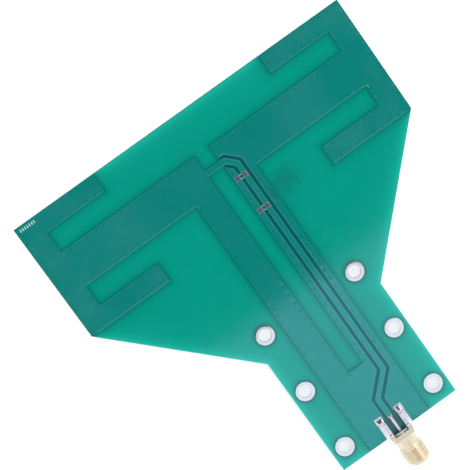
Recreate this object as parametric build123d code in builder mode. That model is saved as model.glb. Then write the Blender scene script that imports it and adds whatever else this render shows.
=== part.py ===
# Printed dipole antenna: a two-layer board with a folded arm on each side of a slotted stem,
# six plated mounting holes, and a threaded coaxial jack soldered onto the stem's edge.
# X runs along the arms, +Y from the jack towards the arms, and +Z out of the front face.
# The origin is the middle of the six mounting holes, on the plane that their back rings sit on.
import os
from math import floor, hypot

from build123d import *

os.makedirs("parts", exist_ok=True)

# Board outline
board_width = 98.9
board_length = 98.9
stem_width = 35.4
stem_length = 34.1

# Layers, from the back ring face upwards
laminate_thickness = 1.53
copper_thickness = 0.035
tin_thickness = 0.02
mask_thickness = 0.02
mask_wrap = 0.04
legend_thickness = 0.015

# Copper arms: a wide bar with a folded strip above and below it
arm_bar_width = 10.3
fold_strip_width = 5.15
fold_gap = 6.15
fold_strip_reach = 24.05
end_bar_width = 6.25
copper_margin = 0.3

# Slotted stem
stem_copper_width = 18.2
slot_width = 4.82
slot_floor_height = 20.2

# Feed line on the front, with a gap on each side of it
feed_width = 1.5
feed_gap = 0.8
feed_offset = 5.7
feed_jog_height = 10.1
feed_top_jog = 2.3
feed_overlap = 0.5

# Mounting holes
hole_pitch_y = 17.78
hole_edge_distance = 4.95
hole_side_distance = 3.73
hole_diameter = 3.1
hole_ring_diameter = 5.08
plating_thickness = 0.035
ring_mask_clearance = 0.08
ring_copper_clearance = 0.3

# Via fences along the stem's copper edges
via_diameter = 0.4
via_sides = 6
via_pitch = 2.54
via_inset = 0.6

# Bare pads that straddle the gap beside the feed line
shunt_pad_length = 1.5
shunt_pad_width = 1.5
shunt_pad_spacing = 0.6
shunt_upper_drop = 5.6
shunt_lower_drop = 15.28
shunt_tin_height = 0.14
shunt_tin_chamfer = 0.1
pad_mask_overlap = 0.05

# Jack: flange, neck, threaded barrel and four legs
flange_width = 6.35
flange_height = 6.35
flange_thickness = 1.3
flange_corner = 0.4
neck_diameter = 5.3
neck_length = 2.6
thread_diameter = 6.35
thread_run_in = 0.9
barrel_reach = 9.4
tip_diameter = 5.5
tip_length = 0.6
tip_taper = 0.35
tip_chamfer = 0.15
leg_width = 1.1
leg_height = 1.0
leg_length = 4.1
leg_end_chamfer = 0.25
insulator_diameter = 4.1
insulator_end_wall = 0.6
rear_recess_diameter = 4.6
rear_recess_depth = 0.35
socket_diameter = 4.6
socket_depth = 1.9

# Jack's centre contact
contact_diameter = 1.27
contact_bore_diameter = 0.95
contact_bore_depth = 2.6
contact_slit_width = 0.2
contact_slit_depth = 2.0
contact_setback = 0.1
pin_diameter = 0.64
pin_length = 4.1
pin_end_chamfer = 0.1

# Solder
solder_film = 0.03
ground_pad_width = 2.1
ground_pad_length = 6.05
ground_pad_shift = 0.445
leg_solder_height = 0.6
leg_solder_side = 0.15
pin_pad_width = 1.0
pin_pad_length = 4.9
pin_solder_height = 0.45
pin_solder_side = 0.04

# White legend: two short lines at each bare pad pair, and a row of plain ticks in one corner
footprint_line_length = 0.42
footprint_line_width = 0.16
footprint_line_offset = 0.54
tick_count = 7
tick_width = 0.3
tick_height = 0.78
tick_pitch = 0.68
tick_row_inset = 3.35
tick_row_drop = 1.2

# Heights worked out from the layers
laminate_bottom = copper_thickness + tin_thickness
laminate_top = laminate_bottom + laminate_thickness
front_copper_face = laminate_top + copper_thickness
back_copper_face = laminate_bottom - copper_thickness
front_ring_face = front_copper_face + tin_thickness
front_mask_face = front_copper_face + mask_thickness

# Places along Y
board_bottom = -(hole_edge_distance + hole_pitch_y)
board_top = board_bottom + board_length
arm_height = arm_bar_width + 2 * (fold_gap + fold_strip_width)
shoulder = board_top - arm_height
stem_top = board_bottom + stem_length
copper_bottom = board_bottom + copper_margin
copper_top = board_top - copper_margin
bar_top = board_top - fold_strip_width - fold_gap
bar_bottom = bar_top - arm_bar_width
bar_centre = (bar_top + bar_bottom) / 2
slot_floor = board_bottom + slot_floor_height
copper_side = board_width / 2 - copper_margin
hole_pitch_x = stem_width - 2 * hole_side_distance

# The feed line's path, from the board's edge to the far side of the slot
feed_jog = board_bottom + feed_jog_height
feed_path = [
    (0, copper_bottom),
    (0, feed_jog),
    (feed_offset, feed_jog + feed_offset),
    (feed_offset, bar_centre - feed_top_jog),
    (feed_offset - feed_top_jog, bar_centre),
    (-slot_width / 2 - feed_overlap, bar_centre),
]
gap_path = [(0, board_bottom)] + feed_path[1:-1] + [(0, bar_centre)]
gap_reach = feed_width / 2 + feed_gap
inner_gap_centre = feed_offset - feed_width / 2 - feed_gap / 2

# The jack's place: its pin lies on the feed line, so that sets the height of its axis
jack_height = front_copper_face + solder_film + pin_diameter / 2
jack_face = Plane(origin=(0, board_bottom, jack_height), x_dir=(1, 0, 0), z_dir=(0, -1, 0))
jack_section = Plane(origin=(0, board_bottom, jack_height), x_dir=(0, -1, 0), z_dir=(-1, 0, 0))
jack_axis = Axis((0, board_bottom, jack_height), (0, -1, 0))
front_leg_bottom = front_copper_face + solder_film
back_leg_top = back_copper_face - solder_film
leg_centre = (flange_width - leg_width) / 2
ground_pad_centre = leg_centre + ground_pad_shift


def strip_outline(path, half_width):
    """Corner points of an even strip that follows a bent path."""
    directions = []
    for (x0, y0), (x1, y1) in zip(path, path[1:]):
        length = hypot(x1 - x0, y1 - y0)
        directions.append(((x1 - x0) / length, (y1 - y0) / length))
    before = [directions[0]] + directions
    after = directions + [directions[-1]]
    left_side = []
    right_side = []
    for (x, y), (ax, ay), (bx, by) in zip(path, before, after):
        mitre = half_width / (1 + ax * bx + ay * by)
        left_side.append((x - mitre * (ay + by), y + mitre * (ax + bx)))
        right_side.append((x + mitre * (ay + by), y - mitre * (ax + bx)))
    return left_side + right_side[::-1]


def grid_heights(low, high):
    """Via heights between two levels, counted in whole pitches from the board's edge."""
    first = floor((low - board_bottom) / via_pitch) + 1
    last = floor((high - board_bottom) / via_pitch)
    return [board_bottom + number * via_pitch for number in range(first, last + 1)]


def draw_board_outline():
    """Stem, straight flare and arms, in the open sketch."""
    with BuildLine() as outline:
        Polyline(
            (-stem_width / 2, board_bottom),
            (stem_width / 2, board_bottom),
            (stem_width / 2, stem_top),
            (board_width / 2, shoulder),
            (board_width / 2, board_top),
            (-board_width / 2, board_top),
            (-board_width / 2, shoulder),
            (-stem_width / 2, stem_top),
            close=True,
        )
    make_face(outline.edges())


def draw_dipole():
    """The slotted stem and both folded arms, which are alike on the two faces."""
    with Locations((0, copper_bottom)):
        Rectangle(stem_copper_width, bar_top - copper_bottom, align=(Align.CENTER, Align.MIN))
    with Locations((0, bar_centre)):
        Rectangle(2 * copper_side, arm_bar_width)
    for side, inner in ((-1, Align.MIN), (1, Align.MAX)):
        strip_length = fold_strip_reach - copper_margin
        with Locations((side * copper_side, shoulder)):
            Rectangle(end_bar_width - copper_margin, copper_top - shoulder, align=(inner, Align.MIN))
            Rectangle(strip_length, fold_strip_width, align=(inner, Align.MIN))
        with Locations((side * copper_side, copper_top)):
            Rectangle(strip_length, fold_strip_width - copper_margin, align=(inner, Align.MAX))
    with Locations((0, slot_floor)):
        Rectangle(
            slot_width,
            bar_top - slot_floor,
            align=(Align.CENTER, Align.MIN),
            mode=Mode.SUBTRACT,
        )
    with Locations(*hole_sites.values()):
        Circle(hole_ring_diameter / 2 + ring_copper_clearance, mode=Mode.SUBTRACT)


def draw_shunt_pads(overlap):
    """The four bare pads, each drawn smaller by an overlap on every side."""
    reach = (shunt_pad_spacing + shunt_pad_length) / 2
    for x, y in shunt_sites(reach):
        with Locations((x, y)):
            Rectangle(shunt_pad_length - 2 * overlap, shunt_pad_width - 2 * overlap)


def shunt_sites(reach):
    """Centres at a distance to each side of the inner gap, upper pair first."""
    heights = (bar_centre - shunt_upper_drop, bar_centre - shunt_lower_drop)
    return [(inner_gap_centre + side * reach, y) for y in heights for side in (-1, 1)]


def cut_ring_windows():
    """Round mask windows at the six mounting holes."""
    with Locations(*hole_sites.values()):
        Circle(hole_ring_diameter / 2 + ring_mask_clearance, mode=Mode.SUBTRACT)


def cut_ground_windows():
    """Mask windows over the jack's two ground pads."""
    for side in (-1, 1):
        with Locations((side * ground_pad_centre, board_bottom)):
            Rectangle(
                ground_pad_width,
                ground_pad_length,
                align=(Align.CENTER, Align.MIN),
                mode=Mode.SUBTRACT,
            )


def cut_feed_windows():
    """Mask windows over the pin's pad and the four bare pads."""
    with Locations((0, board_bottom)):
        Rectangle(
            pin_pad_width,
            pin_pad_length,
            align=(Align.CENTER, Align.MIN),
            mode=Mode.SUBTRACT,
        )
    reach = (shunt_pad_spacing + shunt_pad_length) / 2
    for x, y in shunt_sites(reach):
        with Locations((x, y)):
            Rectangle(
                shunt_pad_length - 2 * pad_mask_overlap,
                shunt_pad_width - 2 * pad_mask_overlap,
                mode=Mode.SUBTRACT,
            )


def finish(part, name):
    """Label a finished piece and write it out."""
    part.label = name
    export_step(part, f"parts/{name}.step")


# Mounting holes in two columns of three, named as seen on the front with the jack at the bottom
hole_sites = {}
for row, height in enumerate((-hole_pitch_y, 0, hole_pitch_y)):
    for column, x in (("left", -hole_pitch_x / 2), ("right", hole_pitch_x / 2)):
        level = ("lower", "middle", "upper")[row]
        hole_sites[f"hole_plating_{level}_{column}"] = (x, height)

# Via fences: the stem's two outer edges, both edges of the slot and its floor, and the feed gap
outer_fence = stem_copper_width / 2 - via_inset
slot_fence = slot_width / 2 + via_inset
feed_fence = feed_offset + gap_reach + via_inset
gap_turn = feed_jog + feed_offset
via_sites = [(-outer_fence, y) for y in grid_heights(copper_bottom, bar_bottom)]
via_sites += [(outer_fence, y) for y in grid_heights(copper_bottom, feed_jog + via_pitch)]
via_sites += [(feed_fence, y) for y in grid_heights(gap_turn, bar_bottom)]
for x in (-slot_fence, slot_fence):
    via_sites += [(x, y) for y in grid_heights(slot_floor, bar_bottom)]
via_sites += [(x, slot_floor - via_inset) for x in (-slot_width / 2, 0)]

# Laminate: the bare glass-fibre board, drilled for the holes and the vias
with BuildPart() as laminate:
    with BuildSketch(Plane.XY.offset(laminate_bottom)):
        draw_board_outline()
        with Locations(*hole_sites.values()):
            Circle(hole_diameter / 2 + plating_thickness, mode=Mode.SUBTRACT)
        with Locations(*via_sites):
            RegularPolygon(via_diameter / 2, via_sides, mode=Mode.SUBTRACT)
    extrude(amount=laminate_thickness)
finish(laminate.part, "laminate")

# Stitching vias: barrels 0.4 mm across, drawn with six flats that lie within 0.03 mm of the round
with BuildPart() as stitching_vias:
    with BuildSketch(Plane.XY.offset(laminate_bottom)):
        with Locations(*via_sites):
            RegularPolygon(via_diameter / 2, via_sides)
    extrude(amount=laminate_thickness)
finish(stitching_vias.part, "stitching_vias")

# Front copper: the feed gap parts it into the right half and the left half with its feed line
with BuildSketch() as front_pattern:
    draw_dipole()
    with BuildLine():
        Polyline(*strip_outline(gap_path, gap_reach), close=True)
    make_face(mode=Mode.SUBTRACT)
    with BuildLine():
        Polyline(*strip_outline(feed_path, feed_width / 2), close=True)
    make_face()
    draw_shunt_pads(0)

front_halves = front_pattern.faces().sort_by(Axis.X)

with BuildPart() as front_copper_left:
    with BuildSketch(Plane.XY.offset(laminate_top)):
        add(front_halves[0])
    extrude(amount=copper_thickness)
finish(front_copper_left.part, "front_copper_left")

with BuildPart() as front_copper_right:
    with BuildSketch(Plane.XY.offset(laminate_top)):
        add(front_halves[-1])
    extrude(amount=copper_thickness)
finish(front_copper_right.part, "front_copper_right")

# Back copper: the same arms and stem, with no feed line
with BuildSketch() as back_pattern:
    draw_dipole()

with BuildPart() as back_copper:
    with BuildSketch(Plane.XY.offset(back_copper_face)):
        add(back_pattern.faces())
    extrude(amount=copper_thickness)
finish(back_copper.part, "back_copper")

# Front solder mask: a thin film on the laminate that steps up over the copper
with BuildPart() as front_solder_mask:
    with BuildSketch(Plane.XY.offset(laminate_top)):
        draw_board_outline()
        cut_ring_windows()
        cut_ground_windows()
        cut_feed_windows()
    extrude(amount=mask_thickness)
    with BuildSketch(Plane.XY.offset(laminate_top)):
        add(front_pattern.faces())
        offset(amount=mask_wrap, kind=Kind.INTERSECTION)
        cut_ground_windows()
        cut_feed_windows()
    extrude(amount=copper_thickness + mask_thickness)
    with BuildSketch(Plane.XY.offset(laminate_top)):
        add(front_pattern.faces())
    extrude(amount=copper_thickness, mode=Mode.SUBTRACT)
finish(front_solder_mask.part, "front_solder_mask")

# Back solder mask: the same film, built downwards from the back of the laminate
with BuildPart() as back_solder_mask:
    with BuildSketch(Plane.XY.offset(laminate_bottom)):
        draw_board_outline()
        cut_ring_windows()
        cut_ground_windows()
    extrude(amount=-mask_thickness)
    with BuildSketch(Plane.XY.offset(laminate_bottom)):
        add(back_pattern.faces())
        offset(amount=mask_wrap, kind=Kind.INTERSECTION)
        cut_ground_windows()
    extrude(amount=-(copper_thickness + mask_thickness))
    with BuildSketch(Plane.XY.offset(laminate_bottom)):
        add(back_pattern.faces())
    extrude(amount=-copper_thickness, mode=Mode.SUBTRACT)
finish(back_solder_mask.part, "back_solder_mask")

# Hole plating: a tinned eyelet in each mounting hole, with a ring on both faces
for name, site in hole_sites.items():
    with BuildPart() as hole_plating:
        with BuildSketch():
            with Locations(site):
                Circle(hole_diameter / 2 + plating_thickness)
        extrude(amount=front_ring_face)
        with BuildSketch(Plane.XY, Plane.XY.offset(laminate_top)):
            with Locations(site):
                Circle(hole_ring_diameter / 2)
        extrude(amount=laminate_bottom)
        with BuildSketch():
            with Locations(site):
                Circle(hole_diameter / 2)
        extrude(amount=front_ring_face, mode=Mode.SUBTRACT)
    finish(hole_plating.part, name)

# Bare pads: a low cushion of tin on each of the four pads beside the feed line
pad_names = ("upper_ground", "upper_feed", "lower_ground", "lower_feed")
pad_reach = (shunt_pad_spacing + shunt_pad_length) / 2
for pad_name, site in zip(pad_names, shunt_sites(pad_reach)):
    with BuildPart() as shunt_pad:
        with BuildSketch(Plane.XY.offset(front_copper_face)):
            with Locations(site):
                Rectangle(
                    shunt_pad_length - 2 * pad_mask_overlap,
                    shunt_pad_width - 2 * pad_mask_overlap,
                )
        extrude(amount=shunt_tin_height)
        chamfer(shunt_pad.edges().group_by(Axis.Z)[-1], shunt_tin_chamfer)
    finish(shunt_pad.part, f"shunt_pad_{pad_name}")

# Legend: the footprint lines lie in the gap beside the feed line, the ticks on the left arm
with BuildPart() as legend:
    with BuildSketch(Plane.XY.offset(laminate_top + mask_thickness)):
        for x, y in shunt_sites(0)[::2]:
            with Locations((x, y - footprint_line_offset), (x, y + footprint_line_offset)):
                Rectangle(footprint_line_length, footprint_line_width)
    extrude(amount=legend_thickness)
    with BuildSketch(Plane.XY.offset(front_mask_face)):
        with Locations((tick_row_inset - board_width / 2, board_top - tick_row_drop)):
            with GridLocations(tick_pitch, tick_height, tick_count, 1):
                Rectangle(tick_width, tick_height)
    extrude(amount=legend_thickness)
finish(legend.part, "legend")

# Jack body: one gold-plated piece with its flange, neck, threaded barrel and legs
with BuildPart() as connector_body:
    with BuildSketch(jack_face):
        Rectangle(flange_width, flange_height)
    extrude(amount=flange_thickness)
    chamfer(connector_body.edges().filter_by(Axis.Y), flange_corner)
    thread_start = flange_thickness + neck_length
    tip_start = barrel_reach - tip_length
    with BuildSketch(jack_section):
        with BuildLine():
            Polyline(
                (0, 0),
                (0, neck_diameter / 2),
                (thread_start, neck_diameter / 2),
                (thread_start + thread_run_in, thread_diameter / 2),
                (tip_start - tip_taper, thread_diameter / 2),
                (tip_start, tip_diameter / 2),
                (barrel_reach - tip_chamfer, tip_diameter / 2),
                (barrel_reach, tip_diameter / 2 - tip_chamfer),
                (barrel_reach, 0),
                close=True,
            )
        make_face()
    revolve(axis=jack_axis)
    with BuildSketch(jack_face):
        for side in (-1, 1):
            with Locations((side * leg_centre, front_leg_bottom - jack_height)):
                Rectangle(leg_width, leg_height, align=(Align.CENTER, Align.MIN))
            with Locations((side * leg_centre, back_leg_top - jack_height)):
                Rectangle(leg_width, leg_height, align=(Align.CENTER, Align.MAX))
    extrude(amount=-leg_length)
    leg_ends = connector_body.faces().group_by(Axis.Y)[-1]
    chamfer(leg_ends.edges(), leg_end_chamfer)
    with BuildSketch(jack_face):
        Circle(insulator_diameter / 2)
    extrude(amount=barrel_reach, mode=Mode.SUBTRACT)
    with BuildSketch(jack_face):
        Circle(rear_recess_diameter / 2)
    extrude(amount=rear_recess_depth, mode=Mode.SUBTRACT)
    with BuildSketch(jack_face.offset(barrel_reach - socket_depth)):
        Circle(socket_diameter / 2)
    extrude(amount=socket_depth, mode=Mode.SUBTRACT)
finish(connector_body.part, "connector_body")

# Insulator: a plain white sleeve that holds the contact, closed around the pin at its back
insulator_length = barrel_reach - socket_depth
with BuildPart() as connector_insulator:
    with BuildSketch(jack_face):
        Circle(insulator_diameter / 2)
        Circle(pin_diameter / 2, mode=Mode.SUBTRACT)
    extrude(amount=insulator_length)
    with BuildSketch(jack_face.offset(insulator_end_wall)):
        Circle(contact_diameter / 2)
    extrude(amount=insulator_length - insulator_end_wall, mode=Mode.SUBTRACT)
finish(connector_insulator.part, "connector_insulator")

# Centre contact: a slit socket at the mating end, and a pin that lies on the feed line
contact_tip = insulator_length - contact_setback
with BuildPart() as connector_contact:
    with BuildSketch(jack_face.offset(insulator_end_wall)):
        Circle(contact_diameter / 2)
    extrude(amount=contact_tip - insulator_end_wall)
    with BuildSketch(jack_face.offset(contact_tip - contact_slit_depth)):
        Rectangle(contact_diameter, contact_slit_width)
    extrude(amount=contact_slit_depth, mode=Mode.SUBTRACT)
    with BuildSketch(jack_face.offset(contact_tip - contact_bore_depth)):
        Circle(contact_bore_diameter / 2)
    extrude(amount=contact_bore_depth, mode=Mode.SUBTRACT)
    with BuildSketch(jack_face.offset(insulator_end_wall)):
        Circle(pin_diameter / 2)
    extrude(amount=-(insulator_end_wall + pin_length))
    pin_end = connector_contact.faces().sort_by(Axis.Y)[-1]
    chamfer(pin_end.edges(), pin_end_chamfer)
finish(connector_contact.part, "connector_contact")

# Pin solder: a ridge along the pin, from the jack to the end of its pad
with BuildPart() as centre_pin_solder:
    with BuildSketch(Plane.XY.offset(front_copper_face)):
        with Locations((0, copper_bottom)):
            Rectangle(
                pin_pad_width,
                pin_pad_length - copper_margin,
                align=(Align.CENTER, Align.MIN),
            )
    with BuildSketch(Plane.XY.offset(front_copper_face + pin_solder_height)):
        with Locations((0, copper_bottom)):
            Rectangle(
                pin_diameter + 2 * pin_solder_side,
                pin_length - copper_margin,
                align=(Align.CENTER, Align.MIN),
            )
    loft(ruled=True)
    add(connector_contact.part, mode=Mode.SUBTRACT)
finish(centre_pin_solder.part, "centre_pin_solder")

# Leg solder: a wedge that runs from each leg out to the edges of its pad, on both faces
leg_outer = leg_centre + leg_width / 2
leg_inner = leg_centre - leg_width / 2
for face_name, face_height, rise in (
    ("front", front_copper_face, leg_solder_height),
    ("back", back_copper_face, -leg_solder_height),
):
    for side_name, side in (("left", -1), ("right", 1)):
        top_centre = side * (leg_inner + leg_outer + leg_solder_side) / 2
        with BuildPart() as leg_solder:
            with BuildSketch(Plane.XY.offset(face_height)):
                with Locations((side * ground_pad_centre, copper_bottom)):
                    Rectangle(
                        ground_pad_width,
                        ground_pad_length - copper_margin,
                        align=(Align.CENTER, Align.MIN),
                    )
            with BuildSketch(Plane.XY.offset(face_height + rise)):
                with Locations((top_centre, copper_bottom)):
                    Rectangle(
                        leg_width + leg_solder_side,
                        leg_length + leg_solder_side - copper_margin,
                        align=(Align.CENTER, Align.MIN),
                    )
            loft(ruled=True)
            add(connector_body.part, mode=Mode.SUBTRACT)
        finish(leg_solder.part, f"{face_name}_{side_name}_leg_solder")
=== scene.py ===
import math

import bmesh
import bpy
import numpy as np
from mathutils import Matrix, Vector
from mathutils.geometry import delaunay_2d_cdt


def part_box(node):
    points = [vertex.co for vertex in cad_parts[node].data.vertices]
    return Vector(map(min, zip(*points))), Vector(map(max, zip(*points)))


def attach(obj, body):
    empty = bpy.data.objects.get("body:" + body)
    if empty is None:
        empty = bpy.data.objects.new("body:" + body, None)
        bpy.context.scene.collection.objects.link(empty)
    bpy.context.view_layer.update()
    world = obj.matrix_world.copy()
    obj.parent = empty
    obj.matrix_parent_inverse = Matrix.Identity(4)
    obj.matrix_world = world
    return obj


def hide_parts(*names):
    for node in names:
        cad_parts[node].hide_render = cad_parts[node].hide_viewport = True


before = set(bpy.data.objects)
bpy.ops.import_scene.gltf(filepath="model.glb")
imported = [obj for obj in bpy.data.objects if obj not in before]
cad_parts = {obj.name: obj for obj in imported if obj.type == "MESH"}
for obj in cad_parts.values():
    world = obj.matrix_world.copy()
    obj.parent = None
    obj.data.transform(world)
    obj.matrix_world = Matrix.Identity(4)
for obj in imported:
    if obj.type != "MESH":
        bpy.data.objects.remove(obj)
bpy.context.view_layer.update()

MM = 0.001
rng = np.random.default_rng(7)
PAD_NODES = [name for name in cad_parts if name.startswith("shunt_pad")]
HOLE_NODES = [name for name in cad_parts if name.startswith("hole_plating")]


def box_mm(node):
    """A node's lowest and highest corners, in millimetres."""
    low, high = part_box(node)
    return np.array(low) / MM, np.array(high) / MM


body_low, body_high = box_mm("connector_body")
AXIS_Z = (body_low[2] + body_high[2]) / 2


# -------- camera
def add_camera():
    """The photograph's viewpoint: nearly overhead, turned so that the jack points down right."""
    camera = bpy.data.cameras.new("camera")
    camera.sensor_width = 36.0
    camera.lens = 76.596
    camera.clip_start = 0.01
    camera.clip_end = 20.0
    camera_object = bpy.data.objects.new("camera", camera)
    bpy.context.collection.objects.link(camera_object)
    right = Vector((0.81308791, -0.57934604, 0.05697559))
    up = Vector((0.5820698, 0.81061522, -0.06401337))
    back = Vector((-0.00909938, 0.08521227, 0.99632127))
    matrix = Matrix((right, up, back)).transposed().to_4x4()
    matrix.translation = Vector((-7.6246, 64.5122, 252.386)) * MM
    camera_object.matrix_world = matrix
    bpy.context.scene.camera = camera_object


add_camera()


# -------- shader helpers
def new_material(name):
    """A material with an empty tree, its output and one Principled shader."""
    material = bpy.data.materials.new(name)
    material.use_nodes = True
    tree = material.node_tree
    tree.nodes.clear()
    output = tree.nodes.new("ShaderNodeOutputMaterial")
    shader = tree.nodes.new("ShaderNodeBsdfPrincipled")
    tree.links.new(shader.outputs[0], output.inputs[0])
    return material, tree, shader


def feed(tree, socket, value):
    """Links a socket, or sets a plain value."""
    if isinstance(value, bpy.types.NodeSocket):
        tree.links.new(value, socket)
    else:
        socket.default_value = value


def maths(tree, operation, *values):
    node = tree.nodes.new("ShaderNodeMath")
    node.operation = operation
    for socket, value in zip(node.inputs, values):
        feed(tree, socket, value)
    return node.outputs[0]


def times(tree, first, second):
    return maths(tree, "MULTIPLY", first, second)


def plus(tree, first, second):
    return maths(tree, "ADD", first, second)


def one_minus(tree, value):
    return maths(tree, "SUBTRACT", 1.0, value)


def mix(tree, factor, first, second, blend="MIX"):
    """Mixes two colours."""
    node = tree.nodes.new("ShaderNodeMix")
    node.data_type = "RGBA"
    node.blend_type = blend
    feed(tree, node.inputs[0], factor)
    for socket, value in ((node.inputs[6], first), (node.inputs[7], second)):
        linked = isinstance(value, bpy.types.NodeSocket)
        feed(tree, socket, value if linked else (*value, 1.0))
    return node.outputs[2]


def ramp(tree, value, low, high):
    """A smooth step of value: 0 at low, 1 at high, which may lie below low."""
    node = tree.nodes.new("ShaderNodeMapRange")
    node.interpolation_type = "SMOOTHSTEP"
    feed(tree, node.inputs[0], value)
    node.inputs[1].default_value = low
    node.inputs[2].default_value = high
    return node.outputs[0]


def fade(tree, distance, reach):
    """exp(-distance / reach)."""
    return maths(tree, "POWER", math.exp(-1.0 / reach), distance)


def millimetres(tree):
    """Object coordinates in millimetres."""
    place = tree.nodes.new("ShaderNodeTexCoord")
    scale = tree.nodes.new("ShaderNodeVectorMath")
    scale.operation = "SCALE"
    scale.inputs[3].default_value = 1.0 / MM
    tree.links.new(place.outputs["Object"], scale.inputs[0])
    return scale.outputs[0]


def noise(tree, place, scale, detail=2.0, roughness=0.5):
    node = tree.nodes.new("ShaderNodeTexNoise")
    feed(tree, node.inputs["Vector"], place)
    node.inputs["Scale"].default_value = scale
    node.inputs["Detail"].default_value = detail
    node.inputs["Roughness"].default_value = roughness
    return node.outputs[0]


def bump(tree, shader, height, strength, distance_mm):
    """Gives the shader a normal from a height."""
    node = tree.nodes.new("ShaderNodeBump")
    node.inputs["Strength"].default_value = strength
    node.inputs["Distance"].default_value = distance_mm * MM
    feed(tree, node.inputs["Height"], height)
    tree.links.new(node.outputs[0], shader.inputs["Normal"])


def attribute(tree, name):
    """A number stored on the mesh's points."""
    node = tree.nodes.new("ShaderNodeAttribute")
    node.attribute_type = "GEOMETRY"
    node.attribute_name = name
    return node.outputs["Fac"]


def axis_of(tree, place):
    """The three sockets x, y and z."""
    node = tree.nodes.new("ShaderNodeSeparateXYZ")
    tree.links.new(place, node.inputs[0])
    return node.outputs


# -------- materials
# Tints of the solder mask. A noise mixes those that come in pairs.
BARE = (0.0004, 0.326, 0.240), (0.0006, 0.338, 0.252)
BARE_STREAK = (0.0004, 0.245, 0.195)
BARE_SHADE = (0.0, 0.02, 0.024)
BARE_BLOCKED = (0.0012, 0.102, 0.104)
EDGE_GLOW = (0.02, 0.62, 0.475)
EDGE_FAR_GLOW = (0.004, 0.385, 0.305)
COVER = (0.0025, 0.288, 0.253), (0.0225, 0.304, 0.281)
COVER_MOTTLE = (0.010, 0.236, 0.215)
# Paler film over copper edges: partly real thinning, partly a painted highlight
COVER_THIN_AND_HIGHLIGHT = (0.012, 0.320, 0.290)
# Painted reflection, added to the copper of the lower stem
STEM_PAINTED_REFLECTION = (0.017, 0.012, 0.008)
# Painted highlight along copper edges that have copper on the other face, as beside the feed line's
# gaps
GAP_EDGE_PAINTED_HIGHLIGHT = (0.026, 0.0, 0.018)
# Painted shade in the dimples over the vias
PIT_PAINTED_SHADE = (0.003, 0.075, 0.08)
DARK_PATCH = (0.004, 0.19, 0.165)
DARK_PATCH_CENTRE = (12.8, 46.9)
DARK_PATCH_SCALE = (0.15, 0.21)
# Painted shade round the pin, between the legs
PIN_PAINTED_SHADE = (0.024, 0.094, 0.076)


def bare_tint(tree, copper, behind, edge, ring, clouds, streaks):
    """Over laminate: darker beside copper and rings, brighter where light enters at the edge."""
    away = maths(tree, "MAXIMUM", times(tree, copper, -1.0), 0.0)
    glow = times(tree, fade(tree, edge, 1.0), one_minus(tree, fade(tree, away, 1.1)))
    far_glow = times(tree, fade(tree, edge, 4.5), one_minus(tree, fade(tree, away, 5.0)))
    tint = mix(tree, clouds, *BARE)
    tint = mix(tree, times(tree, streaks, 0.10), tint, BARE_STREAK)
    tint = mix(tree, times(tree, far_glow, 0.75), tint, EDGE_FAR_GLOW)
    tint = mix(tree, times(tree, glow, 0.72), tint, EDGE_GLOW)
    shade = times(tree, fade(tree, away, 0.85), 0.52)
    shade = plus(tree, shade, times(tree, fade(tree, away, 0.16), 0.13))
    shade = maths(tree, "MAXIMUM", shade, times(tree, fade(tree, ring, 0.45), 0.80))
    tint = mix(tree, shade, tint, BARE_SHADE)
    # No light comes through where copper lies on the other face
    return mix(tree, ramp(tree, behind, -0.15, 0.35), tint, BARE_BLOCKED)


def cover_tint(tree, copper, behind, x, y, clouds, mottle):
    """Over copper: greyer towards the arms' ends, paler where the film thins over an edge, with a
    painted highlight along each edge, painted highlights beside the gaps and a painted reflection
    on the lower stem.
    """
    outward = ramp(tree, maths(tree, "ABSOLUTE", x), 10.0, 40.0)
    tarnish = times(tree, maths(tree, "MULTIPLY_ADD", outward, 0.7, 0.3), clouds)
    tint = mix(tree, tarnish, *COVER)
    # Painted reflection: the lower stem's copper made lighter, as if the bright tent showed in it
    tint = mix(tree, ramp(tree, y, 26.0, 18.0), tint, STEM_PAINTED_REFLECTION, "ADD")
    tint = mix(tree, times(tree, mottle, 0.24), tint, COVER_MOTTLE)
    # Paler where the film thins over a copper edge; this also paints in the light line that the
    # edge's gloss shows, a painted highlight
    thin_and_highlight = times(tree, ramp(tree, copper, 0.0, 0.14), ramp(tree, copper, 0.42, 0.2))
    tint = mix(tree, times(tree, thin_and_highlight, 0.40), tint, COVER_THIN_AND_HIGHLIGHT)
    # Painted highlight: light lines along the copper's edges where copper lies on the other face,
    # as beside the gaps
    gap_edge_highlight = times(tree, thin_and_highlight, ramp(tree, behind, 0.5, 1.0))
    return mix(tree, gap_edge_highlight, tint, GAP_EDGE_PAINTED_HIGHLIGHT, "ADD")


def dark_patch_share(tree, x, y, mottle):
    """How much of a soft darker patch shows, beside the upper component pads."""
    dx, dy = (
        times(tree, maths(tree, "SUBTRACT", axis, centre), scale)
        for axis, centre, scale in zip((x, y), DARK_PATCH_CENTRE, DARK_PATCH_SCALE)
    )
    spot = plus(tree, times(tree, dx, dx), times(tree, dy, dy))
    spot = plus(tree, spot, times(tree, mottle, 0.6))
    return times(tree, ramp(tree, spot, 1.3, 0.1), 0.64)


def pin_shade_share(tree, x, y, z, mottle):
    """How much painted shade falls on the front face round the pin, where the legs and flange shut
    out light.
    """
    near_pin = times(tree, ramp(tree, maths(tree, "ABSOLUTE", x), 2.5, 2.0),
                 ramp(tree, maths(tree, "MULTIPLY_ADD", mottle, 1.6, y), -16.3, -17.8))
    return times(tree, times(tree, near_pin, ramp(tree, z, 1.0, 1.4)), 0.86)


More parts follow.
